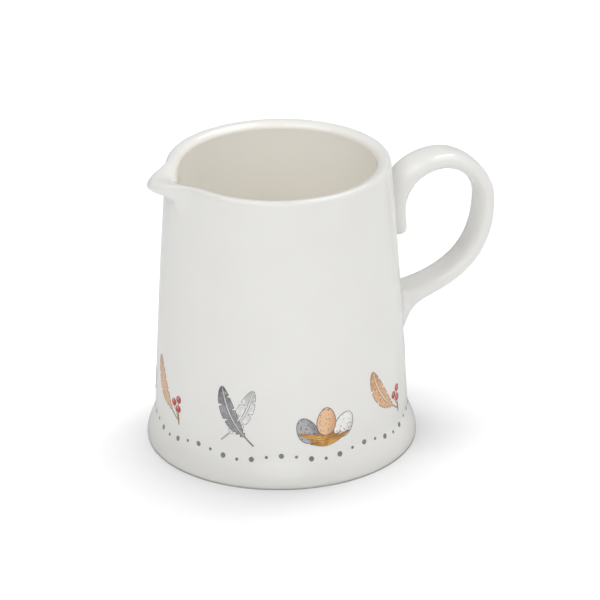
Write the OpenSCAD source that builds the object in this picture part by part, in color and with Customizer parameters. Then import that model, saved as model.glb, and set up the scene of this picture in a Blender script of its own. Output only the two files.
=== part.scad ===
// Glazed earthenware jug with a flared foot, a pulled spout and a strap handle.
// The jug stands on the XY plane with its axis on Z, the spout towards -X and the handle towards +X.
// The body is one casting. The handle is cast by itself and stuck on with slip at two places.

/* [Body] */
// Height from the table to the top of the lip
jug_height = 130; // [110:1:160]
// Outer radius of the wall, carried down to the table under the foot flare
base_radius = 56.6; // [52:0.1:64]
// Outer radius of the wall, carried up to the top of the lip
rim_radius = 48.8; // [44:0.1:54]
// How far the wall swells past a straight cone at half height
wall_bulge = 0.65; // [0:0.05:1.5]
// Thickness of the wall and of the lip
wall_thickness = 6.2; // [5:0.1:7.5]
// Thickness of the floor over the recess
floor_thickness = 6.5; // [5:0.1:9]
// Radius of the corner between the floor and the inside of the wall
inner_corner_radius = 9; // [5:0.5:14]

/* [Foot] */
// How far the foot stands out past the wall
foot_flare = 3.4; // [2:0.1:5]
// Height at which the wall begins to flare into the foot
flare_height = 15; // [10:0.5:20]
// Height of the widest line of the foot
foot_edge_height = 1.5; // [1:0.1:3]
// How far the foot draws in below its widest line
foot_edge_tuck = 1.2; // [0.6:0.1:2]
// Width of the dry ring that the jug stands on
foot_ring_width = 5; // [3:0.5:8]
// Depth of the recess under the floor
foot_recess = 1.8; // [1:0.1:3]

/* [Lip and spout] */
// Height of the rounded top of the lip
lip_crown = 3; // [2:0.1:4]
// Height of the band below the top of the lip that the spout is drawn from
rim_band_height = 30; // [26:1:40]
// How far the tip of the spout stands out past the wall
spout_reach = 10.6; // [8:0.1:14]
// How far the tip of the spout lies below the rest of the lip
spout_dip = 1; // [0:0.1:2]
// Height over which the underside of the spout grows out of the wall
spout_depth = 8; // [6:0.5:12]
// Angle on each side of the tip where the outside of the spout leaves the round wall
spout_half_angle = 23; // [18:1:32]
// Angle on each side of the tip that is rounded off
spout_tip_angle = 2.5; // [1.5:0.5:5]
// How far the lower end of the pouring ramp stands out past the round inside
trough_reach = 3.8; // [2:0.1:6]
// How far the lower end of the pouring ramp lies below the foot of the lip
trough_drop = 2.5; // [1:0.1:4]
// Height over which the trough below the ramp runs out down the inside of the wall
trough_depth = 18; // [14:0.5:22]
// Angle on each side of the tip where the trough leaves the round inside
trough_half_angle = 32; // [24:1:42]
// Angle on each side of the tip over which the bottom of the trough is rounded
trough_tip_angle = 7; // [3:0.5:10]

/* [Handle] */
// Width of the strap
strap_width = 16.6; // [14:0.1:22]
// Thickness of the strap
strap_thickness = 7.6; // [6:0.1:10]
// How far the outermost face of the handle stands out past the wall
handle_projection = 48.9; // [42:0.1:58]
// How far the outermost point of the handle lies below the top of the lip
belly_drop = 31.6; // [26:0.1:38]
// How far the top face of the handle lies below the top of the lip
crest_drop = 6; // [4:0.1:10]
// How far the highest point of the handle stands out past the wall
crest_projection = 25.2; // [22:0.1:30]
// How far the lower end of the tail lies below the top of the lip
tail_drop = 41.5; // [38:0.1:48]
// How far below the top of the lip the strap bends away from the tail
shoulder_drop = 32.3; // [28:0.1:35]
// How far the middle of the tail stands off the wall
tail_standoff = 2.8; // [2:0.1:4]
// Radius of the rounded lower end of the tail
tail_rounding = 3; // [1.5:0.1:3.8]
// How much thicker the strap is on its wall side where the tail begins
shoulder_fill = 3.7; // [2:0.1:6]
// Height of the middle of the strap where it meets the wall again
root_height = 55.6; // [52:0.1:62]
// Slope of the strap where it meets the wall again
root_angle = 30; // [15:1:40]
// How far the lower root spreads down the wall
root_drop = 17; // [12:0.5:20]
// How far the lower root spreads up the wall
root_rise = 7; // [6:0.5:10]
// Width of the lower root on the wall
root_width = 23.8; // [19:0.2:28]

/* [Slip joints] */
// Thickness of the slip between the handle and the wall
slip_thickness = 0.8; // [0.4:0.1:1.2]
// How far the slip is wiped out past the edge of the handle
slip_spread = 1.2; // [0.5:0.1:2]

/* [Hidden] */

// Step by which the rim band sinks into the wall that it stands on and stays inside its edges
seam_step = 0.1;
// Pull of the bend next to the wall, as a share of the box round the bend
shoulder_pull_share = 0.57;
// Pull of the bend between crest and belly, as a share of the box round the bend
belly_pull_share = 0.5;
// Pull of the lower limb at the belly, as a share of the height from belly to root
limb_pull_share = 0.89;
// Pull of the lower limb at the root, as a share of the distance from root to belly
root_pull_share = 0.23;
// Power by which the lower root spreads only close to the wall
root_spread_power = 9;
// Power that squares the section of the strap: 2 gives an ellipse
section_power = 2.5;
// Power by which the trough below the ramp flattens towards the inside wall
trough_power = 4;
// Power by which the pouring ramp falls away from the edge of the spout
ramp_power = 1.3;
// Rounded outer edge of the spout, as a share of its width
spout_edge_share = 0.18;
// Share of even spacing among the columns of the rim band, which crowd at the spout
even_share = 0.4;
// Largest rounding of the tail, as a share of half the strap
tail_round_limit_share = 0.9;
// Power by which the rings of the lower limb crowd towards the root
crowd_power = 1.5;

// Counts of steps along the curves
wall_steps = 8;
foot_steps = 12;
corner_steps = 6;
rim_columns = 120;
outer_rows = 9;
lip_rows = 10;
inner_rows = 8;
tail_rings = 6;
bend_rings = 10;
limb_rings = 24;
strap_sides = 28;
$fn = 120;

lip_foot = jug_height - lip_crown;
band_bottom = jug_height - rim_band_height;
floor_top = foot_recess + floor_thickness;
corner_height = floor_top + inner_corner_radius;
strap_half = strap_thickness / 2;
tail_round = min(tail_rounding, tail_round_limit_share * strap_half);
tail_height = jug_height - tail_drop;
shoulder_height = jug_height - shoulder_drop;
belly_height = jug_height - belly_drop;
crest_middle = jug_height - crest_drop - strap_half;

// Blend from 0 to 1 with level ends
function ease(u) = let (c = max(0, min(1, u))) c * c * (3 - 2 * c);

// Outer radius of the wall: a cone with an even swell
function wall_radius(z) =
    let (u = z / jug_height)
    base_radius + (rim_radius - base_radius) * u + 4 * wall_bulge * u * (1 - u);

// Outer radius with the foot: the wall eases out to the flare and tucks in at the table
function foot_radius(z) =
    let (flare = foot_flare * ease((flare_height - z) / (flare_height - foot_edge_height)))
    let (tuck = foot_edge_tuck * pow(max(0, 1 - z / foot_edge_height), 2))
    wall_radius(z) + flare - tuck;

function inner_radius(z) = wall_radius(z) - wall_thickness;

// Heights at which the cone of the wall changes its slope, below the rim band and in it
wall_heights = [for (i = [0 : wall_steps]) flare_height + (band_bottom - flare_height) * i / wall_steps];
band_heights = [for (i = [0 : outer_rows - 1])
    lip_foot - (lip_foot - band_bottom) * pow(1 - i / outer_rows, 2)];
core_heights = concat(wall_heights, [for (i = [1 : outer_rows - 1]) band_heights[i]]);

// Section of the body below the rim band, from the axis round the outside and back inside
ring_inside = foot_radius(0) - foot_ring_width;
corner_centre = inner_radius(corner_height) - inner_corner_radius;
body_section = concat(
    [[0, foot_recess], [ring_inside - foot_recess, foot_recess], [ring_inside, 0]],
    [for (i = [0 : foot_steps]) let (z = flare_height * pow(i / foot_steps, 2)) [foot_radius(z), z]],
    [for (i = [1 : wall_steps]) let (z = wall_heights[i]) [wall_radius(z), z]],
    [for (i = [wall_steps : -1 : 1])
        let (z = corner_height + (band_bottom - corner_height) * i / wall_steps) [inner_radius(z), z]],
    [for (i = [0 : corner_steps]) let (a = 90 * i / corner_steps)
        [corner_centre + inner_corner_radius * cos(a), corner_height - inner_corner_radius * sin(a)]],
    [[0, floor_top]]);

// Share of the spout at an angle from its tip: 1 at the tip, 0 from the half angle on, tip rounded
function spout_lobe(angle, half_angle, tip_angle) =
    let (rounded = sqrt(angle * angle + tip_angle * tip_angle))
    (1 - sin(90 * min(1, rounded / half_angle))) / (1 - sin(90 * tip_angle / half_angle));

function mix(one, two, u) = one + (two - one) * u;

// Height of the spout at its tip, across the lip from its outer edge to the lower end of the ramp
function ramp_height(u) =
    let (edge = min(1, u / spout_edge_share))
    let (fall = pow(max(0, (u - spout_edge_share) / (1 - spout_edge_share)), ramp_power))
    lip_foot - spout_dip + lip_crown * sqrt(edge * (2 - edge))
        - (lip_crown - spout_dip + trough_drop) * fall;

// Angles of the columns round the rim band, from the tip of the spout
column_angles = [for (j = [0 : rim_columns - 1])
    let (u = 2 * j / rim_columns - 1) 180 * (even_share * u + (1 - even_share) * pow(u, 3))];

// Rows of the rim band: radius, height, how far out and down they lie at the tip of the spout,
// and the half angle and tip angle of the spout there
lip_middle = wall_radius(lip_foot) - wall_thickness / 2;
band_rows = concat(
    [for (i = [0 : outer_rows - 1])
        let (sink = i == 0 ? seam_step : 0)
        let (z = band_heights[i] - sink)
        let (share = ease((z - lip_foot + spout_depth) / spout_depth))
        [wall_radius(z) - sink, z, spout_reach * share, spout_dip * share,
            spout_half_angle, spout_tip_angle]],
    [for (i = [0 : lip_rows])
        let (a = 180 * i / lip_rows)
        let (u = (1 - cos(a)) / 2)
        let (z = lip_foot + lip_crown * sin(a))
        [lip_middle + wall_thickness / 2 * cos(a), z, mix(spout_reach, trough_reach, u), z - ramp_height(u),
            mix(spout_half_angle, trough_half_angle, u), mix(spout_tip_angle, trough_tip_angle, u)]],
    [for (i = [1 : inner_rows])
        let (sink = i == inner_rows ? seam_step : 0)
        let (z = lip_foot - (lip_foot - band_bottom) * pow(i / inner_rows, 2) - sink)
        let (share = pow(max(0, (z - lip_foot + trough_depth) / trough_depth), trough_power))
        [inner_radius(z) + sink, z, trough_reach * share, trough_drop * share,
            trough_half_angle, trough_tip_angle]]);

function band_point(row, angle) =
    let (lobe = spout_lobe(abs(angle), row[4], row[5]))
    let (r = row[0] + row[2] * lobe)
    [-r * cos(angle), -r * sin(angle), row[1] - row[3] * lobe];

// Two triangles for each cell of a grid that closes on itself round its columns
function grid_faces(rows, columns, last_row) = [
    for (i = [0 : last_row - 1]) for (j = [0 : columns - 1])
        let (a = i * columns + j)
        let (b = i * columns + (j + 1) % columns)
        let (c = ((i + 1) % rows) * columns + (j + 1) % columns)
        let (d = ((i + 1) % rows) * columns + j)
        each [[a, c, b], [a, d, c]]];

// Lip, spout and trough, drawn out of the round wall
module rim_band() {
    rows = len(band_rows);
    polyhedron(
        points = [for (row = band_rows) for (angle = column_angles) band_point(row, angle)],
        faces = grid_faces(rows, rim_columns, rows),
        convexity = 6);
}

// Solid bounded by the wall, grown by an offset
module wall_core(offset) {
    rotate_extrude()
        polygon(concat(
            [[0, 0]],
            [for (z = concat([0], core_heights, [lip_foot, jug_height])) [wall_radius(z) + offset, z]],
            [[0, jug_height]]));
}

// Middle line of the strap, from the tail over crest and belly to the lower root
function tail_point(z) = [wall_radius(z) + tail_standoff, z];
shoulder = tail_point(shoulder_height);
crest = [wall_radius(crest_middle) + crest_projection, crest_middle];
belly = [wall_radius(belly_height) + handle_projection - strap_half, belly_height];
root = [wall_radius(root_height), root_height];
tail_run = shoulder - tail_point(tail_height);
tail_slope = tail_run[0] / tail_run[1];
shoulder_rise = shoulder_pull_share * (crest[1] - shoulder[1]);
shoulder_bend = [
    shoulder,
    shoulder + [tail_slope * shoulder_rise, shoulder_rise],
    crest - [shoulder_pull_share * (crest[0] - shoulder[0]), 0],
    crest];
belly_bend = [
    crest,
    crest + [belly_pull_share * (belly[0] - crest[0]), 0],
    belly + [0, belly_pull_share * (crest[1] - belly[1])],
    belly];
root_pull = root_pull_share * (belly[0] - root[0]);
lower_limb = [
    belly,
    belly - [0, limb_pull_share * (belly[1] - root[1])],
    root + root_pull * [cos(root_angle), sin(root_angle)],
    root];

function bezier(p, u) =
    pow(1 - u, 3) * p[0] + 3 * u * pow(1 - u, 2) * p[1] + 3 * u * u * (1 - u) * p[2] + pow(u, 3) * p[3];

function bezier_run(p, u) =
    pow(1 - u, 2) * (p[1] - p[0]) + 2 * u * (1 - u) * (p[2] - p[1]) + u * u * (p[3] - p[2]);

// A station holds the middle point, the direction and the half sizes of the strap there:
// towards the outside of the loop, towards its inside, and across
function tail_station(u, grow) =
    let (low = tail_height - grow)
    let (z = low + (shoulder_height - low) * u)
    let (left = max(0, 1 - (z - low) / tail_round))
    let (pinch = tail_round * (1 - sqrt(1 - left * left)))
    [tail_point(z), tail_run, strap_half + shoulder_fill, strap_half - pinch, strap_width / 2 - pinch, 0];

function shoulder_station(u) =
    [bezier(shoulder_bend, u), bezier_run(shoulder_bend, u),
        strap_half + shoulder_fill * ease(1 - u), strap_half, strap_width / 2, 0];

function belly_station(u) =
    [bezier(belly_bend, u), bezier_run(belly_bend, u), strap_half, strap_half, strap_width / 2, 0];

function limb_station(u) =
    let (spread = pow(u, root_spread_power))
    [bezier(lower_limb, u), bezier_run(lower_limb, u),
        strap_half + (root_drop - strap_half) * spread,
        strap_half + (root_rise - strap_half) * spread,
        (strap_width + (root_width - strap_width) * spread) / 2,
        spread];

// Cosine or sine, squared off for the section of the strap
function square_off(v) = sign(v) * pow(abs(v), 2 / section_power);

// One ring of the strap: two half ovals with flattened sides, upright where the root lies on the wall
function strap_ring(station, grow) =
    let (run = station[1] / norm(station[1]))
    let (lean = [-run[1], run[0]] * (1 - station[5]) + [0, -1] * station[5])
    let (side = lean / norm(lean))
    [for (k = [0 : strap_sides - 1])
        let (a = -360 * k / strap_sides)
        let (half = grow + (cos(a) > 0 ? station[2] : station[3]))
        let (p = station[0] + side * half * square_off(cos(a)))
        [p[0], (station[4] + grow) * square_off(sin(a)), p[1]]];

function upper_stations(grow) = concat(
    [for (i = [0 : tail_rings - 1]) tail_station(pow(i / tail_rings, 2), grow)],
    [for (i = [0 : bend_rings - 1]) shoulder_station(i / bend_rings)]);

// Rings of the lower limb, which crowd towards the root, and one ring inside the wall
function limb_stations(first) = concat(
    [for (i = [first : limb_rings]) limb_station(1 - pow(1 - i / limb_rings, crowd_power))],
    [let (end = limb_station(1)) concat([end[0] - [wall_thickness, 0]], [for (k = [1 : 5]) end[k]])]);

// Closed tube through the stations
module strap(stations, grow) {
    rings = [for (station = stations) strap_ring(station, grow)];
    count = len(rings);
    polyhedron(
        points = [for (ring = rings) each ring],
        faces = concat(
            grid_faces(count, strap_sides, count - 1),
            [[for (k = [0 : strap_sides - 1]) k]],
            [[for (k = [strap_sides - 1 : -1 : 0]) (count - 1) * strap_sides + k]]),
        convexity = 6);
}

// Slip between the wall and the end of the handle, wiped out past its edge
module slip_pad(stations) {
    intersection() {
        strap(stations, slip_spread);
        difference() {
            wall_core(slip_thickness);
            wall_core(0);
        }
    }
}

module jug_body() {
    color("#ECEBE6") {
        rotate_extrude() polygon(body_section);
        rim_band();
    }
}

module handle() {
    color("#E8E7E1")
        difference() {
            strap(concat(
                upper_stations(0),
                [for (i = [0 : bend_rings - 1]) belly_station(i / bend_rings)],
                limb_stations(0)), 0);
            wall_core(slip_thickness);
        }
}

module upper_slip_joint() {
    color("#E2E0D9") slip_pad(upper_stations(slip_spread));
}

module lower_slip_joint() {
    color("#E2E0D9") slip_pad(limb_stations(limb_rings / 2));
}

jug_body();
handle();
upper_slip_joint();
lower_slip_joint();
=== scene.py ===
# %% [markdown]
# # A glazed jug with a printed band
# A small earthenware jug: a cone-shaped body on a flared foot, a soft lip pulled out to a spout, and a
# strap handle stuck on with slip. Everything is under one coat of clear glossy glaze. The CAD model gives
# the frame: the jug stands on z = 0 with its axis on Z, spout to -X and handle to +X. Each piece below is
# a surface worked out with numpy from the same sizes, but with many more points, so that the glaze runs
# without facets over every curve.

import bpy
import numpy as np
from mathutils import Matrix, Vector


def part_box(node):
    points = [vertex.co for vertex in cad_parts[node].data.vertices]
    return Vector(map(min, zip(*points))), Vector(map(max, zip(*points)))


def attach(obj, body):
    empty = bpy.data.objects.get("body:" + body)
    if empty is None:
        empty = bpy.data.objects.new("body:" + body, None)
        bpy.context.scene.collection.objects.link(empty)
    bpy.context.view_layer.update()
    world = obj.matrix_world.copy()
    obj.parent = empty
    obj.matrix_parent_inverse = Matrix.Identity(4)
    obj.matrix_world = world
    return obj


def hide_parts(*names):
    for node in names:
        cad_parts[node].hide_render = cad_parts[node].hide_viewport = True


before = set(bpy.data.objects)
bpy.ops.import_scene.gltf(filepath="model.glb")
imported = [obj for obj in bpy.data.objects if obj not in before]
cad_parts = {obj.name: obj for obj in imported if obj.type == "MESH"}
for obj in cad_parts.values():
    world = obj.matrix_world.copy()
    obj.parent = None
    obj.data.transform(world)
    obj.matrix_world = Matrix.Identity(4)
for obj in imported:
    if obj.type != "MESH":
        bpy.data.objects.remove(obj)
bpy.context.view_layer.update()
mm = 0.001
jug_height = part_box("jug_body")[1].z

# %% [markdown]
# ## Camera
# The picture was taken with a long lens from slightly above, with the handle turned a little away from
# the lens. A camera can be turned to a target with a constraint, but here its three axes are worked out
# from the angles and put straight into its matrix, so the small roll of the picture is kept too.

# %% Camera at the photograph's angle
camera_azimuth = np.radians(-20)
camera_elevation = np.radians(24.47)
camera_roll = np.radians(-0.60)
camera_distance = 1643.2 * mm
camera_target = np.array([8.2, -3.0, 63.0]) * mm
focal_share = 3736.3 / 600
film_width = 36

back = np.array([np.sin(camera_azimuth) * np.cos(camera_elevation),
                 -np.cos(camera_azimuth) * np.cos(camera_elevation),
                 np.sin(camera_elevation)])
level_right = np.array([np.cos(camera_azimuth), np.sin(camera_azimuth), 0])
level_up = np.cross(back, level_right)
right = np.cos(camera_roll) * level_right + np.sin(camera_roll) * level_up
up = np.cos(camera_roll) * level_up - np.sin(camera_roll) * level_right

lens = bpy.data.cameras.new("studio_camera")
lens.sensor_width = film_width
lens.lens = film_width * focal_share
camera = bpy.data.objects.new("studio_camera", lens)
turn = Matrix(np.column_stack([right, up, back]).tolist()).to_4x4()
camera.matrix_world = Matrix.Translation(Vector(camera_target + back * camera_distance)) @ turn
bpy.context.scene.collection.objects.link(camera)
bpy.context.scene.camera = camera
print("camera at mm:", [round(v / mm) for v in camera.location], "lens", round(lens.lens, 1))

# %% [markdown]
# ## From a grid of points to a closed piece
# Every piece here is a tube of rings: the jug body is a tube that starts under its floor and ends on top
# of it, the handle is a tube along a curve, and a printed mark is a very flat tube. One helper turns such
# a grid into a mesh. It closes each ring, puts a point on both ends, and turns a tube round if it came
# inside out.

# %% Helper: a closed piece from rings of points
def closed_piece(name, grid, uv=None, values=None, looped=False, smooth=True):
    """Make one object from tubes of points, where grid[n, i, j] is point j on ring i of tube n.

    Each ring closes on itself. The ends close on the mean of their ring, or on each other where looped.
    The volume under the faces, a sum of triple products, tells which tubes are inside out.
    """
    tubes, rings, sides = grid.shape[:3]
    side = np.arange(sides)
    after = (side + 1) % sides
    start = np.arange(rings if looped else rings - 1)[:, None] * sides
    ahead = (start + sides) % (rings * sides)
    quads = np.stack([start + side, start + after, ahead + after, ahead + side], axis=-1).reshape(-1, 4)
    hub = rings * sides
    far_ring = hub - sides
    near_fan = np.column_stack([after, side, np.full(sides, hub)])
    far_fan = np.column_stack([far_ring + side, far_ring + after, np.full(sides, hub + 1)])
    fans = np.empty((0, 3), int) if looped else np.concatenate([near_fan, far_fan])

    def with_hubs(a):
        flat = a.reshape(tubes, rings * sides, -1)
        return flat if looped else np.concatenate([flat, a[:, [0, -1]].mean(axis=2)], axis=1)

    triangles = np.concatenate([quads[:, :3], quads[:, [0, 2, 3]], fans])
    corners = with_hubs(grid)[:, triangles]
    volume = np.einsum("nti,nti->n", corners[:, :, 0], np.cross(corners[:, :, 1], corners[:, :, 2])) / 6
    turned = (volume < 0)[:, None, None]

    def outward(a):
        return np.where(turned[..., None], a[:, :, ::-1], a)

    points = with_hubs(outward(grid))
    shift = (np.arange(tubes) * points.shape[1])[:, None, None]
    faces = (quads + shift).reshape(-1, 4).tolist() + (fans + shift).reshape(-1, 3).tolist()
    mesh = bpy.data.meshes.new(name)
    mesh.from_pydata(points.reshape(-1, 3).tolist(), [], faces)
    mesh.polygons.foreach_set("use_smooth", np.full(len(mesh.polygons), smooth))
    if uv is not None:
        corner_points = np.empty(len(mesh.loops), np.int32)
        mesh.loops.foreach_get("vertex_index", corner_points)
        spread = with_hubs(outward(uv)).reshape(-1, 2)[corner_points]
        mesh.uv_layers.new(name="UVMap").data.foreach_set("uv", spread.astype(np.float32).ravel())
    for key, value in (values or {}).items():
        whole = np.broadcast_to(value, grid.shape[:3])[..., None]
        layer = mesh.attributes.new(key, "FLOAT", "POINT")
        layer.data.foreach_set("value", with_hubs(outward(whole)).astype(np.float32).ravel())
    mesh.update()
    piece = bpy.data.objects.new(name, mesh)
    bpy.context.scene.collection.objects.link(piece)
    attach(piece, "root")
    cubic_mm = round(float(np.abs(volume).sum()) / mm**3)
    print(name, "has", len(mesh.polygons), "faces and", cubic_mm, "mm3")
    return piece


# %% [markdown]
# ## The wall and the foot
# The body is thrown or cast round, so its outside is a profile turned about the axis. The profile is a
# cone with a slight swell. Near the table it eases out into the flared foot, and at the very edge it
# tucks in. Blender's Screw modifier could turn a drawn profile, but the spout isn't round, so the radius
# stays a function.

# %% Profile of the wall and the foot
base_radius = 56.6 * mm
rim_radius = 48.8 * mm
wall_bulge = 0.65 * mm
wall_thickness = 6.2 * mm
foot_flare = 3.368 * mm
flare_height = 15 * mm
foot_edge_height = 1.5 * mm
foot_edge_tuck = 0.6 * mm


def ease(u):
    """Blend from 0 to 1 with level ends: c*c*(3 - 2*c), with c = u kept between 0 and 1."""
    c = np.clip(u, 0, 1)
    return c * c * (3 - 2 * c)


def wall_radius(z):
    """Outer radius: a straight line from base to rim, plus a parabola that swells it at half height."""
    u = z / jug_height
    return base_radius + (rim_radius - base_radius) * u + 4 * wall_bulge * u * (1 - u)


def foot_radius(z):
    """Outer radius with the foot: the wall, plus a flare eased in downwards, less a parabolic tuck."""
    flare = foot_flare * ease((flare_height - z) / (flare_height - foot_edge_height))
    return wall_radius(z) + flare - foot_edge_tuck * np.maximum(0, 1 - z / foot_edge_height) ** 2


print("widest foot radius in mm:", round(float(foot_radius(foot_edge_height)) / mm, 2))

# %% [markdown]
# ## The lip and the spout
# The lip is rounded, with its crown nearer to the outside. The spout is pulled out of the soft clay with
# a finger, and seen from above it is a pointed lobe. Its top stays nearly level behind a rounded edge,
# then bends down to the inside and runs out as a shallow trough. Its outside folds back into the wall. It
# could be sculpted, but each change of size would mean sculpting it again. So each row of the profile
# says how far out and down it lies at the tip, and a lobe function fades that away to both sides.

# %% Sizes of the lip, the spout and the floor
floor_thickness = 6.5 * mm
inner_corner_radius = 9 * mm
foot_ring_width = 5 * mm
foot_recess = 1.8 * mm
lip_crown = 3 * mm
lip_peak_share = 0.3
spout_reach = 10.6 * mm
spout_dip = 1.1 * mm
spout_depth = 8 * mm
spout_fold_depth = 3.4 * mm
spout_fold_widening = 1.6
spout_half_angle = np.radians(23)
spout_tip_angle = np.radians(8)
spout_edge_share = 0.3
ramp_power = 2.8
trough_reach = 3.8 * mm
trough_drop = 0.6 * mm
trough_depth = 18 * mm
trough_half_angle = np.radians(32)
trough_tip_angle = np.radians(7)
trough_power = 4
lip_foot = jug_height - lip_crown
floor_top = foot_recess + floor_thickness
corner_height = floor_top + inner_corner_radius
print("lip starts at mm:", round(lip_foot / mm, 1), "and the floor inside at mm:", round(floor_top / mm, 1))


# %% Shape of the spout
def spout_lobe(angle, half_angle, tip_angle):
    """Share of the spout at an angle from its tip: 1 - sin, from 1 at the tip to 0 at the half angle.

    The angle is rounded near the tip, as the root of its square plus the tip angle's square.
    """
    quarter = np.pi / 2
    rounded = np.sqrt(angle**2 + tip_angle**2)
    peak = 1 - np.sin(quarter * tip_angle / half_angle)
    return (1 - np.sin(quarter * np.minimum(1, rounded / half_angle))) / peak


def spout_fold(depth, turn_share):
    """Share of the spout at a depth below the lip: a bell curve, exp of minus the square of depth / width.

    The width grows with the share of the turn from the tip to the half angle.
    """
    width = spout_fold_depth * (1 + spout_fold_widening * turn_share)
    return np.exp(-(np.maximum(0, depth) / width) ** 2)


def ramp_height(u):
    """Height of the spout at its tip, for u from 0 at its edge to 1 at the lower end of the ramp.

    A quarter of an ellipse rounds the edge, and a power curve falls away from it.
    """
    edge = np.minimum(1, u / spout_edge_share)
    fall = np.maximum(0, (u - spout_edge_share) / (1 - spout_edge_share)) ** ramp_power
    crown = lip_crown * np.sqrt(edge * (2 - edge))
    return lip_foot - spout_dip + crown - (lip_crown - spout_dip + trough_drop) * fall


print("the spout falls by mm:", round(float(ramp_height(spout_edge_share) - ramp_height(1.0)) / mm, 2))

# %% Rows of the whole body, from under the floor over the lip to the top of the floor
hub_radius = 0.5 * mm
foot_crowding = 1.6
inside_crowding = 1.5


def row(radius, height, out=0.0, down=0.0, half_angle=spout_half_angle, tip_angle=spout_tip_angle):
    """Rows of the profile as columns: radius, height, way out and down at the tip, and two angles."""
    parts = (radius, height, out, down, half_angle, tip_angle)
    return np.column_stack([np.broadcast_to(v, np.shape(radius)) for v in parts])


ring_outside = foot_radius(0 * mm)
ring_inside = ring_outside - foot_ring_width
t = np.linspace(0, 1, 12)
underside = row(np.linspace(hub_radius, ring_inside - foot_recess, 14), foot_recess)
ring_bevel = row(ring_inside - foot_recess * (1 - t), foot_recess * (1 - ease(t)))[1:]
dry_ring = row(np.linspace(ring_inside, ring_outside, 8), 0.0)[1:]
z = flare_height * np.linspace(0, 1, 40)[1:] ** foot_crowding
foot = row(foot_radius(z), z)
z = np.linspace(flare_height, lip_foot - spout_depth, 60)[1:]
wall = row(wall_radius(z), z)
z = np.linspace(lip_foot - spout_depth, lip_foot, 40)[1:-1]
below_lip = row(wall_radius(z), z)
a = np.linspace(0, np.pi, 45)
u = lip_peak_share - np.where(np.cos(a) > 0, lip_peak_share, 1 - lip_peak_share) * np.cos(a)
z = lip_foot + lip_crown * np.sin(a)
lip = row(wall_radius(lip_foot) - wall_thickness * u, z,
          spout_reach + (trough_reach - spout_reach) * u, z - ramp_height(u),
          spout_half_angle + (trough_half_angle - spout_half_angle) * u,
          spout_tip_angle + (trough_tip_angle - spout_tip_angle) * u)
z = lip_foot - (lip_foot - corner_height) * np.linspace(0, 1, 60)[1:-1] ** inside_crowding
share = np.maximum(0, (z - lip_foot + trough_depth) / trough_depth) ** trough_power
inside = row(wall_radius(z) - wall_thickness, z, trough_reach * share, trough_drop * share,
             trough_half_angle, trough_tip_angle)
a = np.linspace(0, np.pi / 2, 18)
corner_centre = wall_radius(corner_height) - wall_thickness - inner_corner_radius
inner_corner = row(corner_centre + inner_corner_radius * np.cos(a),
                   corner_height - inner_corner_radius * np.sin(a))
floor_rows = row(np.linspace(corner_centre, hub_radius, 14)[1:], floor_top)
beneath = [underside, ring_bevel, dry_ring]
outer = beneath + [foot, wall, below_lip]
rows = np.concatenate(outer + [lip, inside, inner_corner, floor_rows])
print(len(rows), "rows in the profile")

# %% [markdown]
# ## The body as one surface
# The body is one casting, so it is one surface. The columns crowd towards the spout, where the shape
# changes fastest. Three values ride on the points for the glaze to read: where it is inside, where the
# clay is left dry to stand on, and where glaze pools. Painting them by hand would work too, but they
# follow from the rows. Inside, the glaze is painted brighter and warmer: painted light, for the light
# that bounces round the interior.

# %% Jug body
even_share = 0.55
body_columns = 264
u = np.linspace(-1, 1, body_columns, endpoint=False)
column_angle = np.pi * (even_share * u + (1 - even_share) * u**3)
radius, height, tip_out, tip_down, half_angle, tip_angle = (v[:, None] for v in rows.T)
order = np.arange(len(rows))[:, None]
lip_start = sum(len(part) for part in outer)
turn_share = np.minimum(1, np.abs(column_angle) / half_angle)
fold = spout_fold(lip_foot - height, turn_share)
tip_out = np.where(order < lip_start, fold * spout_reach, tip_out)
tip_down = np.where(order < lip_start, fold * spout_dip, tip_down)
r = radius + tip_out * spout_lobe(np.abs(column_angle), half_angle, tip_angle)
body_grid = np.stack([-r * np.cos(column_angle), -r * np.sin(column_angle),
                      height - tip_down * ease(1 - turn_share)], axis=-1)

dry_height, dry_height_fade = 0.25 * mm, 0.2 * mm
dry_inset, dry_inset_fade = 1.5 * mm, 0.8 * mm
pool_height = 1.1 * flare_height
pool_beneath = 0.4
half_lip = len(lip) / 2
# Painted light: the inside value lifts the inner wall and the inner half of the lip to a brighter, warmer
# white, for the light that bounces round the interior.
inside_value = ease((order - lip_start - half_lip) / half_lip)
dry_value = ease((dry_height - height) / dry_height_fade)
dry_value = dry_value * ease((radius - ring_inside + dry_inset) / dry_inset_fade)
pool_value = ease((pool_height - height) / flare_height) * (1 - inside_value)
pool_value = np.where(order < sum(len(part) for part in beneath), pool_beneath, pool_value)
body = closed_piece("glazed_body", body_grid[None],
                    values={"inside": inside_value, "dry": dry_value, "pool": pool_value})
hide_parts("jug_body")

# %% [markdown]
# ## The handle
# The handle is a flat strap of clay, bent and stuck on. It starts as a tail that lies down the wall,
# turns out over a crest and a belly, and comes back to a flared root. A curve with a bevel could draw
# most of it, but not the changing section, so the surface is a function of two parameters: the place
# along the middle line, and the angle round the section, which is two half ovals back to back with
# flattened sides.

# %% Sizes of the handle
strap_width = 16.6 * mm
strap_half = 7.6 * mm / 2
section_power = 2.5
handle_projection = 48.89 * mm
belly_height = jug_height - 31.6 * mm
crest_height = jug_height - 6 * mm - strap_half
crest_projection = 25.2 * mm
crest_fill = 0.9 * mm
crest_fill_spread = 0.45
shoulder_height = jug_height - 32.3 * mm
shoulder_fill = 3.7 * mm
tail_height = jug_height - 41.5 * mm
tail_standoff = 2.8 * mm
tail_rounding = 3 * mm
tail_round_share = 0.4
root_height = 55.6 * mm
root_angle = np.radians(30)
root_drop = 17 * mm
root_rise = 7 * mm
root_width = 23.8 * mm
root_bury = 3 * mm
root_spread_power = 9
shoulder_pull, belly_pull, limb_pull, root_pull = 0.57, 0.5, 0.89, 0.23


# %% Middle line of the strap
def tail_point(z):
    """Middle of the tail at a height: the wall's radius plus a standoff."""
    return np.stack([wall_radius(z) + tail_standoff, z], axis=-1)


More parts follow.
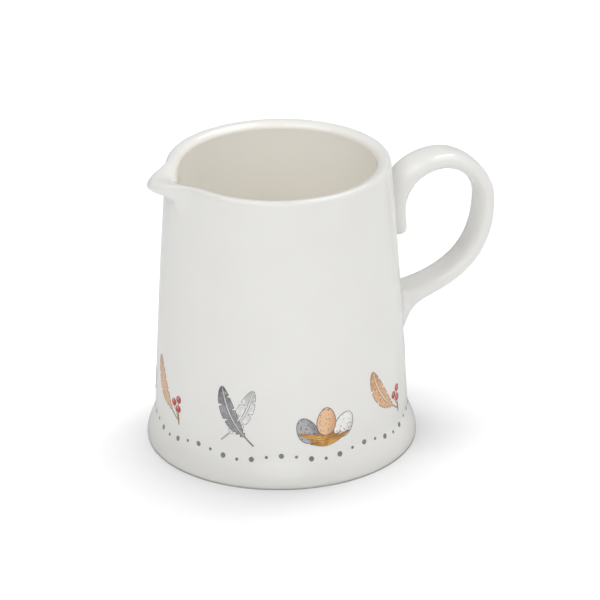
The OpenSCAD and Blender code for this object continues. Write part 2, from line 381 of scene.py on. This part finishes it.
out, rise = np.eye(2)
shoulder = tail_point(shoulder_height)
crest = np.array([wall_radius(crest_height) + crest_projection, crest_height])
belly = np.array([wall_radius(belly_height) + handle_projection - strap_half, belly_height])
root = np.array([wall_radius(root_height), root_height])
tail_run = shoulder - tail_point(tail_height)
root_run = np.array([np.cos(root_angle), np.sin(root_angle)])
shoulder_bend = np.array([shoulder,
                          shoulder + shoulder_pull * (crest[1] - shoulder[1]) * tail_run / tail_run[1],
                          crest - shoulder_pull * (crest[0] - shoulder[0]) * out,
                          crest])
belly_bend = np.array([crest,
                       crest + belly_pull * (belly[0] - crest[0]) * out,
                       belly + belly_pull * (crest[1] - belly[1]) * rise,
                       belly])
lower_limb = np.array([belly,
                       belly - limb_pull * (belly[1] - root[1]) * rise,
                       root + root_pull * (belly[0] - root[0]) * root_run,
                       root])
print("crest, belly and root in mm:", np.round(np.array([crest, belly, root]) / mm, 1).tolist())


# %% The strap as a function of two parameters
def bezier(p, u):
    """Point and direction on a cubic Bezier curve: its four points weighted by Bernstein's polynomials."""
    u = np.clip(u, 0, 1)[..., None]
    point = (1 - u) ** 3 * p[0] + 3 * u * (1 - u) ** 2 * p[1] + 3 * u**2 * (1 - u) * p[2] + u**3 * p[3]
    run = (1 - u) ** 2 * (p[1] - p[0]) + 2 * u * (1 - u) * (p[2] - p[1]) + u**2 * (p[3] - p[2])
    return point, run


def strap_point(s, a):
    """Point of the strap at s along it and angle a round it, as whole arrays.

    s runs 0 to 1 up the tail, to 2 over the shoulder, to 3 over the belly, to 4 down the limb, and to 5
    into the wall. The section is two half ovals: the middle plus side * half * cos(a), and half the width
    * sin(a) across, where a power below 1 of cosine and sine flattens the sides of the oval.
    A quarter circle pinches the section in at the end of the tail, a bell curve thickens it at the crest,
    and a high power of the way down the limb spreads the root.
    """
    s, a = np.broadcast_arrays(np.asarray(s, float), np.asarray(a, float))
    quarter = np.clip(s / tail_round_share, 0, 1) * np.pi / 2
    climb = np.clip((s - tail_round_share) / (1 - tail_round_share), 0, 1)
    tail_z = tail_height + tail_rounding * (1 - np.cos(quarter))
    tail_z = tail_z + (shoulder_height - tail_height - tail_rounding) * climb
    pinch = tail_rounding * (1 - np.sin(quarter))
    parts = [(tail_point(tail_z), np.broadcast_to(tail_run, s.shape + (2,))),
             bezier(shoulder_bend, s - 1), bezier(belly_bend, s - 2), bezier(lower_limb, s - 3)]
    place = np.clip(s.astype(int), 0, 3)[None, ..., None]
    middle, run = (np.take_along_axis(np.stack(v), place, axis=0)[0] for v in zip(*parts))
    middle = middle - np.maximum(0, s - 4)[..., None] * root_bury * out
    spread = np.clip(s - 3, 0, 1) ** root_spread_power
    crest_bell = crest_fill * np.exp(-((s - 2) / crest_fill_spread) ** 2)
    wall_side = strap_half + shoulder_fill * ease(2 - s) + (root_drop - strap_half) * spread
    open_side = strap_half - pinch + crest_bell + (root_rise - strap_half) * spread
    across = strap_width / 2 - pinch + (root_width - strap_width) / 2 * spread
    run = run / np.linalg.norm(run, axis=-1, keepdims=True)
    spread = spread[..., None]
    side = np.stack([-run[..., 1], run[..., 0]], axis=-1) * (1 - spread) - spread * rise
    side = side / np.linalg.norm(side, axis=-1, keepdims=True)
    half = np.where(np.cos(a) > 0, wall_side, open_side)
    over, aside = (np.sign(v) * np.abs(v) ** (2 / section_power) for v in (np.cos(a), np.sin(a)))
    p = middle + side * (half * over)[..., None]
    return np.stack([p[..., 0], across * aside, p[..., 1]], axis=-1)


# %% Handle
strap_sides = 80
root_crowding = 1.5
wall_sink = 2.5 * mm
stations = np.concatenate([np.linspace(0, tail_round_share, 14)[:-1],
                           np.linspace(tail_round_share, 1, 14)[:-1],
                           np.linspace(1, 2, 44)[:-1],
                           np.linspace(2, 3, 44)[:-1],
                           4 - np.linspace(1, 0, 100) ** root_crowding,
                           np.linspace(4, 5, 4)[1:]])
ring_angle = np.linspace(0, 2 * np.pi, strap_sides, endpoint=False)
handle_grid = strap_point(stations[:, None], ring_angle[None, :])
reach = np.hypot(handle_grid[..., 0], handle_grid[..., 1])
deepest = wall_radius(handle_grid[..., 2]) - wall_sink
handle_grid[..., :2] *= np.maximum(1, deepest / reach)[..., None]
handle = closed_piece("glazed_handle", handle_grid[None], values={"inside": 0.0, "dry": 0.0, "pool": 0.0})
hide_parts("handle")

# %% [markdown]
# ## The slip at the two joints
# The handle is stuck on with slip, which is wiped into a soft hollow all round the joint, and glaze fills
# it further. A boolean and a bevel would break on such thin shapes. Here the line where strap and wall
# meet is found first, by halving intervals. A hollow curve then runs from a point up the strap to a point
# out on the wall. Beside the tail, that point is found by walking up the strap's slope, and at the root
# by halving again. Each bead is a closed ring along its whole line.

# %% Where the strap meets the wall
halvings = 45


def wall_gap(p):
    """How far points lie outside the wall: their distance from the axis, less the wall's radius there."""
    return np.hypot(p[..., 0], p[..., 1]) - wall_radius(p[..., 2])


def meeting(gap_at, buried, free):
    """Parameter at which the gap is zero, between a buried and a free value, by halving the interval."""
    for _ in range(halvings):
        middle = (buried + free) / 2
        inside_wall = gap_at(middle) < 0
        buried, free = np.where(inside_wall, middle, buried), np.where(inside_wall, free, middle)
    return (buried + free) / 2


tail_points = 60
root_points = 120
top_s = meeting(lambda s: wall_gap(strap_point(s, 0.0)), 1.0, 1.95)
tail_s = top_s * (1 - np.linspace(0, 1, tail_points) ** 2)
tail_a = meeting(lambda a: wall_gap(strap_point(tail_s, a)),
                 np.zeros(tail_points), np.full(tail_points, 1.6))
root_a = np.linspace(0, 2 * np.pi, root_points, endpoint=False)
root_s = meeting(lambda s: wall_gap(strap_point(s, root_a)),
                 np.full(root_points, 5.0), np.full(root_points, 3.6))
print("the strap leaves the wall at mm:", np.round(strap_point(top_s, 0.0) / mm, 1).tolist())


# %% A walk over the strap
def walk_up(s, a, distance, steps=12, nudge=1e-4):
    """Walk over the strap straight away from the wall.

    Each step follows the slope of the gap on the surface: the slopes along s and a, divided by the metric.
    """
    for _ in range(steps):
        ahead, behind = strap_point(s + nudge, a), strap_point(s - nudge, a)
        left, right_side = strap_point(s, a + nudge), strap_point(s, a - nudge)
        along, around = (ahead - behind) / (2 * nudge), (left - right_side) / (2 * nudge)
        slope_s = (wall_gap(ahead) - wall_gap(behind)) / (2 * nudge)
        slope_a = (wall_gap(left) - wall_gap(right_side)) / (2 * nudge)
        pairs = ((along, along), (along, around), (around, around))
        ss, sa, aa = (np.sum(p * q, axis=-1) for p, q in pairs)
        step_s, step_a = aa * slope_s - sa * slope_a, ss * slope_a - sa * slope_s
        length = np.linalg.norm(step_s[:, None] * along + step_a[:, None] * around, axis=-1) + 1e-12
        s = s + step_s * distance / steps / length
        a = a + step_a * distance / steps / length
    return strap_point(s, a)


# %% Beads of slip
bead_skin = 0.02 * mm
bead_bury = 0.5 * mm
bead_sides = 14
upper_spread = 2.0 * mm
lower_spread = 2.4 * mm
end_points = 12


def slip_bead(name, line, strap_side, spread, node):
    """A closed ring along a joint line. Its section is a hollow between strap and wall and a buried point.

    The hollow is a quadratic Bezier curve that leaves the strap and the wall along their own surfaces.
    """
    tangent = np.roll(line, -1, axis=0) - np.roll(line, 1, axis=0)
    normal = line * np.array([1, 1, 0])
    normal = normal / np.linalg.norm(normal, axis=1, keepdims=True)
    over_wall = np.cross(normal, tangent)
    over_wall = over_wall / np.linalg.norm(over_wall, axis=1, keepdims=True)
    over_wall *= np.sign(np.sum(over_wall * (line - line.mean(axis=0)), axis=1, keepdims=True))
    wall_end = line + over_wall * spread
    wall_end[:, :2] *= (wall_radius(wall_end[:, 2]) / np.hypot(wall_end[:, 0], wall_end[:, 1]))[:, None]
    wall_end = wall_end - normal * bead_skin
    strap_end = strap_side - over_wall * bead_skin
    u = np.linspace(0, 1, bead_sides)[None, :, None]
    hollow = (1 - u) ** 2 * strap_end[:, None] + 2 * u * (1 - u) * line[:, None] + u**2 * wall_end[:, None]
    buried = (line - (normal + over_wall) * bead_bury)[:, None]
    bead = closed_piece(name, np.concatenate([hollow, buried], axis=1)[None], looped=True,
                        values={"inside": 0.0, "dry": 0.0, "pool": 1.0})
    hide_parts(node)
    return bead


flip = np.array([1, -1, 1])
tail_line = strap_point(tail_s, tail_a)
tail_up = walk_up(tail_s, tail_a, upper_spread)
end_radius = wall_radius(tail_height)
end_y = np.linspace(tail_line[-1, 1], -tail_line[-1, 1], end_points + 2)[1:-1]
end_line = np.column_stack([np.sqrt(end_radius**2 - end_y**2), end_y, np.full(end_points, tail_height)])
end_up = end_line * (1 + upper_spread / end_radius * np.array([1, 1, 0]))
upper_line = np.concatenate([tail_line, end_line, (tail_line * flip)[:0:-1]])
upper_up = np.concatenate([tail_up, end_up, (tail_up * flip)[:0:-1]])
upper_bead = slip_bead("upper_slip_bead", upper_line, upper_up, upper_spread, "upper_slip_joint")
lower_line = strap_point(root_s, root_a)
lower_s = meeting(lambda s: lower_spread - np.linalg.norm(strap_point(s, root_a) - lower_line, axis=-1),
                  np.full(root_points, 3.4), root_s)
lower_up = strap_point(lower_s, root_a)
lower_bead = slip_bead("lower_slip_bead", lower_line, lower_up, lower_spread, "lower_slip_joint")

# %% [markdown]
# ## Glaze
# A clear glaze over white clay: glossy, very slightly uneven, cool where it pools in a hollow, and wiped
# off the ring that stood on the kiln shelf. Inside it is painted brighter and warmer: painted light, for
# the light that bounces round the interior. It could be a painted image, but one shader with a few slow
# noises is enough. The noises read Object coordinates, so they stay on the jug, and the values stored on
# the points place the rest.

# %% Helpers for finishes
def finish(name, roughness):
    """A new material: its node tree, and its shader with one roughness."""
    material = bpy.data.materials.new(name)
    material.use_nodes = True
    shader = material.node_tree.nodes["Principled BSDF"]
    shader.inputs["Roughness"].default_value = roughness
    return material, material.node_tree, shader


def add(tree, kind, settings=None, **sockets):
    """Add a node, set its settings, then fill its sockets with values or with links from other sockets.

    A socket goes by its name, with _ for each space, or by its number after a leading _.
    """
    made = tree.nodes.new(kind)
    for key, value in (settings or {}).items():
        setattr(made, key, value)
    for key, value in sockets.items():
        socket = made.inputs[int(key[1:]) if key[0] == "_" else key.replace("_", " ")]
        if isinstance(value, bpy.types.NodeSocket):
            tree.links.new(value, socket)
        else:
            socket.default_value = value
    return made


def mix(tree, factor, one, two):
    """Blend two colours by a factor socket."""
    return add(tree, "ShaderNodeMix", {"data_type": "RGBA"}, _0=factor, _6=one, _7=two).outputs[2]


def fade(tree, value, low, high):
    """Map a value from low..high to 0..1 with level ends, and hold it at both ends."""
    smooth = {"interpolation_type": "SMOOTHSTEP"}
    mapped = add(tree, "ShaderNodeMapRange", smooth, Value=value, From_Min=low, From_Max=high)
    return mapped.outputs["Result"]


def between(tree, value, low, high):
    """Map a value from 0..1 to low..high on a straight line."""
    return add(tree, "ShaderNodeMapRange", Value=value, To_Min=low, To_Max=high).outputs["Result"]


def noise(tree, scale, detail=2.0):
    """Noise of a scale, in blots to the metre, at the place on the jug in Object coordinates."""
    place = add(tree, "ShaderNodeTexCoord").outputs["Object"]
    return add(tree, "ShaderNodeTexNoise", Vector=place, Scale=scale, Detail=detail).outputs["Fac"]


def attribute(tree, name):
    """Read a value stored on the points of the piece."""
    return add(tree, "ShaderNodeAttribute", {"attribute_name": name}).outputs["Fac"]


# %% White glaze
glaze_white = (0.755, 0.749, 0.724, 1)
glaze_cloud = (0.744, 0.737, 0.711, 1)
glaze_cool = (0.684, 0.677, 0.645, 1)
# Painted light: a brighter, warmer white for the inside, standing in for the light that bounces round the
# interior.
painted_inner_light_white = (0.965, 0.938, 0.872, 1)
dry_clay = (0.640, 0.585, 0.500, 1)
dry_clay_pale = (0.700, 0.650, 0.570, 1)
glaze_gloss_low, glaze_gloss_high = 0.025, 0.045
clay_dull_low, clay_dull_high = 0.7, 0.9
swell_depth = 0.25 * mm
pore_depth = 0.02 * mm

white_glaze, tree, shader = finish("white_glaze", glaze_gloss_high)
cloud = noise(tree, 38.0, 3.0)
grain = noise(tree, 900.0)
swell = noise(tree, 55.0, 1.0)
clouded = mix(tree, fade(tree, cloud, 0.35, 0.75), glaze_white, glaze_cloud)
pooled = mix(tree, attribute(tree, "pool"), clouded, glaze_cool)
# Painted light: inside, the glaze turns to the brighter, warmer white.
with_inner_light = mix(tree, attribute(tree, "inside"), pooled, painted_inner_light_white)
clay = mix(tree, fade(tree, grain, 0.3, 0.7), dry_clay, dry_clay_pale)
tree.links.new(mix(tree, attribute(tree, "dry"), with_inner_light, clay), shader.inputs["Base Color"])
gloss = between(tree, cloud, glaze_gloss_low, glaze_gloss_high)
dull = between(tree, grain, clay_dull_low, clay_dull_high)
rough = add(tree, "ShaderNodeMix", _0=attribute(tree, "dry"), _2=gloss, _3=dull).outputs[0]
tree.links.new(rough, shader.inputs["Roughness"])
sway = add(tree, "ShaderNodeBump", Strength=0.25, Distance=swell_depth, Height=swell).outputs["Normal"]
pores = add(tree, "ShaderNodeBump", Strength=0.12, Distance=pore_depth, Height=grain, Normal=sway)
tree.links.new(pores.outputs["Normal"], shader.inputs["Normal"])
for piece in (body, handle, upper_bead, lower_bead):
    piece.data.materials.append(white_glaze)
print("glaze has", len(tree.nodes), "nodes")

# %% [markdown]
# ## The printed band
# A transfer is laid on before the last glaze firing. Three motifs follow each other three times round the
# jug: two crossed plumes, three speckled eggs on straw, and a plume with berries, all over a scalloped
# row of dots. An image texture is the usual way to do this. Here each mark is a very flat closed patch
# instead, a strip with a curved spine and a width on both sides, wrapped on the wall, so the print stays
# sharp from close by.

# %% Places of the marks
repeats = 3
motifs = 3
egg_motif, berry_motif, plume_motif = range(motifs)
facing = np.arctan2(back[1], back[0])


def motif_angles(motif, count):
    """Angle round the jug of each mark of a motif, for all repeats: half a step off the camera's side."""
    turn = motif + motifs * np.arange(repeats) + 0.5
    return np.repeat(facing + 2 * np.pi * turn / (repeats * motifs), count)


def spines(marks, points):
    """Curved spines from rows of (way round, height, tilt in degrees, length, bend), in millimetres.

    A point is the foot of the mark, plus its length along the tilt, plus a half sine of the bend across it.
    """
    way, height, tilt, length, bend = np.asarray(marks, float).T[:, :, None]
    t = np.linspace(0, 1, points)
    across, tilt = bend * np.sin(np.pi * t), np.radians(tilt)
    spine = np.stack([way + length * t * np.sin(tilt) + across * np.cos(tilt),
                      height + length * t * np.cos(tilt) - across * np.sin(tilt)], axis=-1)
    return spine * mm


print("motifs are mm apart:", round(2 * np.pi * float(wall_radius(25 * mm)) / (repeats * motifs) / mm, 1))

# %% Marks wrapped on the wall
print_proud = 0.05 * mm
print_layer = 0.03 * mm
print_sunk = 0.12 * mm


def print_marks(name, around, spine, left, right, layer, columns=9):
    """Patches on the wall: a point is the spine plus its normal times a share of the width on that side.

    Its way round, divided by the wall's radius, is an angle. The edge value is the distance to the outline:
    the width that is left over, divided by the length of (1, slant of the outline).
    """
    run = np.gradient(spine, axis=1)
    step = np.linalg.norm(run, axis=-1, keepdims=True)
    normal = np.stack([run[..., 1], -run[..., 0]], axis=-1) / step
    share = np.linspace(-1, 1, columns)
    width = np.where(share < 0, left[..., None], right[..., None])
    edge = width * (1 - np.abs(share)) / np.hypot(1, np.gradient(width, axis=1) / step)
    flat = spine[:, :, None] + normal[:, :, None] * (width * share)[..., None]
    share = np.broadcast_to(share, edge.shape)
    flat, edge, share = (np.concatenate([v, np.flip(v, axis=2)], axis=2) for v in (flat, edge, share))
    face = np.repeat([1, 0], columns)
    lift = face * (print_proud + np.reshape(layer, (-1, 1, 1)) * print_layer) - (1 - face) * print_sunk
    wall_at = foot_radius(flat[..., 1])
    angle = around[:, None, None] + flat[..., 0] / wall_at
    r = wall_at + lift
    grid = np.stack([r * np.cos(angle), r * np.sin(angle), flat[..., 1]], axis=-1)
    along = np.broadcast_to(np.linspace(0, 1, spine.shape[1])[:, None], share.shape)
    piece = closed_piece(name, grid, uv=np.stack([share / 2 + 0.5, along], axis=-1),
                         values={"edge": edge / mm}, smooth=False)
    return piece


# %% Plumes
quill_half, quill_taper = 0.34 * mm, 0.6
vane_start, vane_skew, vane_bluntness = 0.17, 1.1, 0.55
narrow_vane = 0.72
split_depth, split_width = 0.6, 0.014
left_splits, right_splits = (0.42, 0.68), (0.33, 0.55, 0.8)
down_share, down_depth, down_waves = 0.3, 0.4, 26
plume_points = 150


def vane(t, half, splits):
    """Half width of a plume: a bare quill, then a blunt sine of a power of t.

    Narrow splits are cut out of it, and a fast sine makes its lower end downy.
    """
    s = np.clip((t - vane_start) / (1 - vane_start), 0, 1)
    full = np.sin(np.pi * s**vane_skew) ** vane_bluntness
    split = sum(split_depth * np.exp(-((s - place) / split_width) ** 2) for place in splits)
    down = down_depth * ease((down_share - s) / down_share) * (1 + np.sin(down_waves * np.pi * s))
    return quill_half * (1 - quill_taper * s) + half * full * (1 - split) * (1 - down)


def plume(name, motif, mark, half, layer):
    """One plume in each repeat of a motif, with a narrower vane and other splits on its right side."""
    t = np.linspace(0, 1, plume_points)
    left = np.tile(vane(t, half, left_splits), (repeats, 1))
    right = np.tile(vane(t, narrow_vane * half, right_splits), (repeats, 1))
    spine = np.tile(spines([mark], plume_points), (repeats, 1, 1))
    return print_marks(name, motif_angles(motif, 1), spine, left, right, layer)


white_plume = plume("white_plume_print", plume_motif, (-7.6, 19.6, 31, 29, 2.6), 4.0 * mm, 0)
grey_plume = plume("grey_plume_print", plume_motif, (7.4, 18.6, -29, 30, -2.8), 4.0 * mm, 1)
buff_plume = plume("buff_plume_print", berry_motif, (5.5, 21.2, -37, 30, -3.2), 4.3 * mm, 1)

# %% Eggs
egg_half = 4.5 * mm
egg_bluntness = 0.14
round_points = 33


def oval(t, blunt):
    """Half width of an egg of half width 1: the root of 1 - x squared, fuller at the blunt lower end."""
    x = 2 * t - 1
    return np.sqrt(np.maximum(0, 1 - x**2)) * (1 - blunt * x)


def rounds(name, around, marks, half, blunt, layer):
    """Eggs, berries or dots: ovals on short straight spines, with points crowded to both ends."""
    t = (1 - np.cos(np.linspace(0, np.pi, round_points))) / 2
    ends = spines(marks, 2)
    spine = ends[:, :1] + (ends[:, 1:] - ends[:, :1]) * t[:, None]
    width = np.asarray(half)[..., None] * oval(t, blunt) * np.ones((len(marks), 1))
    return print_marks(name, around, spine, width, width, layer)


def egg(name, mark, layer):
    """One egg in each repeat of the egg motif."""
    return rounds(name, motif_angles(egg_motif, 1), [mark] * repeats, egg_half, egg_bluntness, layer)


grey_egg = egg("grey_egg_print", (-5.6, 20.0, -24, 12.6, 0), 1)
white_egg = egg("white_egg_print", (6.2, 20.6, 28, 12.2, 0), 1)
buff_egg = egg("buff_egg_print", (0.4, 22.5, 3, 13.0, 0), 2)

# %% Straw under the eggs
golden_step, second_step = 0.618, 0.755
straw_length, straw_length_spread = 14, 6
straw_lean, lean_step = 11, 2.4
straw_scatter, scatter_step = 2.6, 3.9
straw_sag, straw_sag_spread = 1.0, 1.5
straw_half, straw_tip = 0.38 * mm, 0.02 * mm
straw_points = 30


def straw_bundle(name, straws, low, high, layer):
    """Sagging straws in each repeat, spread evenly between two heights by steps of the golden ratio.

    Their length takes another step, and sines of their number lean and scatter them.
    """
    k = np.arange(straws)
    even, other = k * golden_step % 1, (k * second_step + 0.3) % 1
    length = straw_length + straw_length_spread * other
    tilt = 90 + straw_lean * np.sin(lean_step * k)
    way = straw_scatter * np.sin(scatter_step * k) - length / 2
    height = low + (high - low) * even - length / 2 * np.cos(np.radians(tilt))
    marks = np.column_stack([way, height, tilt, length, straw_sag + straw_sag_spread * even[::-1]])
    t = np.linspace(0, 1, straw_points)
    width = np.tile(straw_half * np.sin(np.pi * t) ** 0.5 + straw_tip, (repeats * straws, 1))
    spine = np.tile(spines(marks, straw_points), (repeats, 1, 1))
    layers = np.tile(layer + 0.1 * k, repeats)
    return print_marks(name, motif_angles(egg_motif, straws), spine, width, width, layers, columns=5)


straw_behind = straw_bundle("straw_behind_print", 9, 22.6, 25.6, 0)
straw_before = straw_bundle("straw_before_print", 17, 20.2, 23.8, 3)

# %% Berries and their stems
berry_places = np.array([[2.6, 26.8], [6.0, 29.0], [5.9, 24.6]])
berry_count = len(berry_places)
berry_size = 3.4
stem_foot = np.array([6.6, 19.0])
stem_bends = [0.8, -0.6, 0.3]
stem_half = 0.20 * mm
stem_points = 30
berry_angles = motif_angles(berry_motif, berry_count)
none = np.zeros(berry_count)

berry_marks = np.column_stack([berry_places, none, none + berry_size, none])
berries = rounds("berry_print", berry_angles, np.tile(berry_marks, (repeats, 1)), berry_size / 2 * mm, 0, 2)
stem_way = berry_places - stem_foot
stem_tilt = np.degrees(np.arctan2(stem_way[:, 0], stem_way[:, 1]))
stem_length = np.hypot(stem_way[:, 0], stem_way[:, 1])
stem_marks = np.column_stack([none + stem_foot[0], none + stem_foot[1], stem_tilt, stem_length, stem_bends])
stem_width = np.full((repeats * berry_count, stem_points), stem_half)
stem_spines = np.tile(spines(stem_marks, stem_points), (repeats, 1, 1))
stems = print_marks("stem_print", berry_angles, stem_spines, stem_width, stem_width, 1, columns=5)

# %% Row of dots
dots = 54
large_dot, small_dot = 2.3, 1.4
dot_row_height, dot_row_scallop = 13.2, 1.3
k = np.arange(dots)
none = np.zeros(dots)
dot_turn = 2 * np.pi * k / dots
dot_size = np.where(k % 2 == 0, large_dot, small_dot)
dot_height = dot_row_height + dot_row_scallop * np.cos(repeats * motifs * dot_turn)
dot_marks = np.column_stack([none, dot_height - dot_size / 2, none, dot_size, none])
dot_row = rounds("dot_print", facing + dot_turn, dot_marks, dot_size / 2 * mm, 0, 0)

# %% [markdown]
# ## Inks
# A potter's transfer has flat inks with fine drawn lines. They could be drawn as an image, but here the
# shader draws them: barbs as a slanting ripple of the plume's own UV map, specks as noise, and a dark
# line wherever the stored distance to the outline is small. All of them lie under the same glossy glaze.

# %% Helpers for inks
ink_gloss = 0.04
ink_line = (0.105, 0.100, 0.108, 1)
line_core = 0.6


def sums(tree, operation, *values):
    """One step of arithmetic between sockets and numbers."""
    sockets = {f"_{n}": v for n, v in enumerate(values)}
    return add(tree, "ShaderNodeMath", {"operation": operation}, **sockets).outputs[0]


def inked(name, *pieces):
    """A new ink on some pieces: its node tree and its shader."""
    material, tree, shader = finish(name, ink_gloss)
    for piece in pieces:
        piece.data.materials.append(material)
    return tree, shader


def own_uv(tree):
    """The two values of the mark's own UV map: across it, and along it."""
    uv = add(tree, "ShaderNodeUVMap").outputs["UV"]
    return add(tree, "ShaderNodeSeparateXYZ", Vector=uv).outputs[:2]


def outlined(tree, shader, colour, line, thickness):
    """Draw the outline where the distance to the edge is small, and give the colour to the shader."""
    rim = fade(tree, attribute(tree, "edge"), thickness, line_core * thickness)
    tree.links.new(mix(tree, rim, colour, line), shader.inputs["Base Color"])


# %% Inks of the plumes
barb_count, barb_slant, barb_waver = 190.0, -22.0, 6.0


def plume_ink(name, piece, pale, deep, shaft, line):
    """Barbs are a sine of (place along the plume - slant * distance from the shaft), roughened by noise."""
    tree, shader = inked(name, piece)
    u, v = own_uv(tree)
    side = sums(tree, "ABSOLUTE", sums(tree, "MULTIPLY_ADD", u, 2.0, -1.0))
    rough = noise(tree, 520.0)
    slanted = sums(tree, "MULTIPLY_ADD", side, barb_slant, sums(tree, "MULTIPLY", v, barb_count))
    ripple = sums(tree, "SINE", sums(tree, "MULTIPLY_ADD", rough, barb_waver, slanted))
    barbs = sums(tree, "MULTIPLY", fade(tree, ripple, -0.2, 0.9), fade(tree, rough, 0.32, 0.60))
    tipped = sums(tree, "MULTIPLY", fade(tree, v, 0.62, 1.0), fade(tree, rough, 0.3, 0.5))
    vaned = mix(tree, sums(tree, "MAXIMUM", barbs, tipped), pale, deep)
    ribbed = mix(tree, fade(tree, side, 0.22, 0.14), vaned, line)
    outlined(tree, shader, mix(tree, fade(tree, side, 0.14, 0.07), ribbed, shaft), line, 0.26)


plume_ink("grey_plume_ink", grey_plume, (0.330, 0.325, 0.335, 1), (0.120, 0.115, 0.125, 1),
          (0.560, 0.550, 0.540, 1), ink_line)
plume_ink("white_plume_ink", white_plume, (0.790, 0.785, 0.765, 1), (0.420, 0.415, 0.420, 1),
          (0.700, 0.690, 0.670, 1), (0.200, 0.195, 0.200, 1))
plume_ink("buff_plume_ink", buff_plume, (0.740, 0.460, 0.275, 1), (0.450, 0.230, 0.115, 1),
          (0.790, 0.610, 0.430, 1), (0.190, 0.120, 0.085, 1))
print(len(bpy.data.materials), "finishes so far")


# %% Inks of the eggs
def egg_ink(name, piece, shell, deep, fleck):
    """A shell that darkens to one side, with flecks where a noise is high."""
    tree, shader = inked(name, piece)
    u, v = own_uv(tree)
    blot = noise(tree, 1150.0, 1.5)
    turned = sums(tree, "MULTIPLY_ADD", v, -0.45, u)
    shaded = mix(tree, fade(tree, turned, 0.30, 0.75), shell, deep)
    outlined(tree, shader, mix(tree, fade(tree, blot, 0.60, 0.67), shaded, fleck), ink_line, 0.34)


egg_ink("grey_egg_ink", grey_egg, (0.400, 0.395, 0.410, 1), (0.250, 0.245, 0.260, 1), ink_line)
egg_ink("white_egg_ink", white_egg, (0.800, 0.790, 0.765, 1), (0.600, 0.590, 0.580, 1),
        (0.300, 0.290, 0.290, 1))
egg_ink("buff_egg_ink", buff_egg, (0.740, 0.480, 0.300, 1), (0.600, 0.340, 0.190, 1),
        (0.330, 0.170, 0.090, 1))
print(len(bpy.data.materials), "finishes so far")

# %% Inks of the straw, the berries and the dots
tree, shader = inked("straw_ink", straw_behind, straw_before, stems)
blot = fade(tree, noise(tree, 300.0), 0.4, 0.6)
ochre = mix(tree, blot, (0.700, 0.390, 0.090, 1), (0.480, 0.230, 0.050, 1))
outlined(tree, shader, ochre, (0.270, 0.130, 0.045, 1), 0.17)

tree, shader = inked("berry_ink", berries)
from_gleam = [sums(tree, "SUBTRACT", value, middle) for value, middle in zip(own_uv(tree), (0.36, 0.66))]
gleam = sums(tree, "ADD", *(sums(tree, "POWER", value, 2.0) for value in from_gleam))
red = mix(tree, fade(tree, gleam, 0.035, 0.012), (0.480, 0.055, 0.040, 1), (0.720, 0.330, 0.280, 1))
outlined(tree, shader, red, (0.230, 0.030, 0.028, 1), 0.34)

tree, shader = inked("dot_ink", dot_row)
blot = fade(tree, noise(tree, 500.0), 0.35, 0.65)
slate = mix(tree, blot, (0.230, 0.220, 0.235, 1), (0.170, 0.160, 0.175, 1))
outlined(tree, shader, slate, (0.200, 0.190, 0.205, 1), 0.15)
print(len(bpy.data.materials), "finishes so far")

# %% [markdown]
# ## Floor and light
# Such a jug is photographed on a white table under large soft lights. The table could be made white with
# more light, but that light would fall on the jug too. So the floor has a light of its own, by light
# linking. It comes from above and behind, and leaves the soft shadow round the foot. The jug is lit by a
# grey dome and three very wide lights, and one softbox behind the handle draws the thin highlight on its
# crest. In mirror reflections the floor is a darker grey, so that the edges of the glossy wall stand out
# from the white.

# %% Floor
floor_half = 3.0
floor_grey = (0.35, 0.35, 0.35, 1)
mirrored_grey = (0.22, 0.22, 0.22, 1)
floor_corners = floor_half * np.array([[-1, -1, 0], [1, -1, 0], [1, 1, 0], [-1, 1, 0]])
floor_mesh = bpy.data.meshes.new("studio_floor")
floor_mesh.from_pydata(floor_corners.tolist(), [], [[0, 1, 2, 3]])
studio_floor = bpy.data.objects.new("studio_floor", floor_mesh)
bpy.context.scene.collection.objects.link(studio_floor)

floor_white, tree, shader = finish("floor_white", 0.9)
shader.inputs["Specular IOR Level"].default_value = 0.0
mirrored = add(tree, "ShaderNodeLightPath").outputs["Is Glossy Ray"]
tree.links.new(mix(tree, mirrored, floor_grey, mirrored_grey), shader.inputs["Base Color"])
floor_mesh.materials.append(floor_white)
print("floor is", 2 * floor_half, "m wide")

# %% World and lamps
dome_grey = (0.324, 0.326, 0.330, 1)
wide_angle = 45
world = bpy.data.worlds.new("studio")
bpy.context.scene.world = world
world.use_nodes = True
world.node_tree.nodes["Background"].inputs["Color"].default_value = dome_grey


def placed(lamp, azimuth, elevation, distance):
    """Put a lamp at an azimuth and elevation in degrees and a distance from the jug, and turn it there."""
    az, el = np.radians([azimuth, elevation])
    way = Vector((np.sin(az) * np.cos(el), -np.cos(az) * np.cos(el), np.sin(el)))
    stand = bpy.data.objects.new(lamp.name, lamp)
    stand.location = way * distance
    stand.rotation_euler = way.to_track_quat("Z", "Y").to_euler()
    bpy.context.scene.collection.objects.link(stand)
    return stand


def softbox(name, azimuth, elevation, distance, long, wide, watts):
    """A rectangular area lamp, whose long side lies in the upright plane through the lamp and the jug."""
    lamp = bpy.data.lights.new(name, "AREA")
    lamp.shape = "RECTANGLE"
    lamp.size = wide
    lamp.size_y = long
    lamp.energy = watts
    return placed(lamp, azimuth, elevation, distance)


def wide_light(name, azimuth, elevation, strength, width=wide_angle):
    """A very large, far softbox: a sun lamp of a wide angle, for which the distance makes no difference."""
    lamp = bpy.data.lights.new(name, "SUN")
    lamp.energy = strength
    lamp.angle = np.radians(width)
    return placed(lamp, azimuth, elevation, 1.0)


wide_light("left_light", -64, 53, 0.90)
wide_light("front_light", -20, 28, 0.46)
wide_light("right_light", 46, 53, 0.88)
softbox("strip_light", 115, 62, 1.5, 0.80, 0.24, 5.8)
floor_light = wide_light("floor_light", 164, 78.5, 7.6, 56)
floor_only = bpy.data.collections.new("lit_by_floor_light")
floor_only.objects.link(studio_floor)
floor_light.light_linking.receiver_collection = floor_only
bpy.context.scene.view_settings.view_transform = "Standard"
print(len(bpy.data.lights), "lamps")
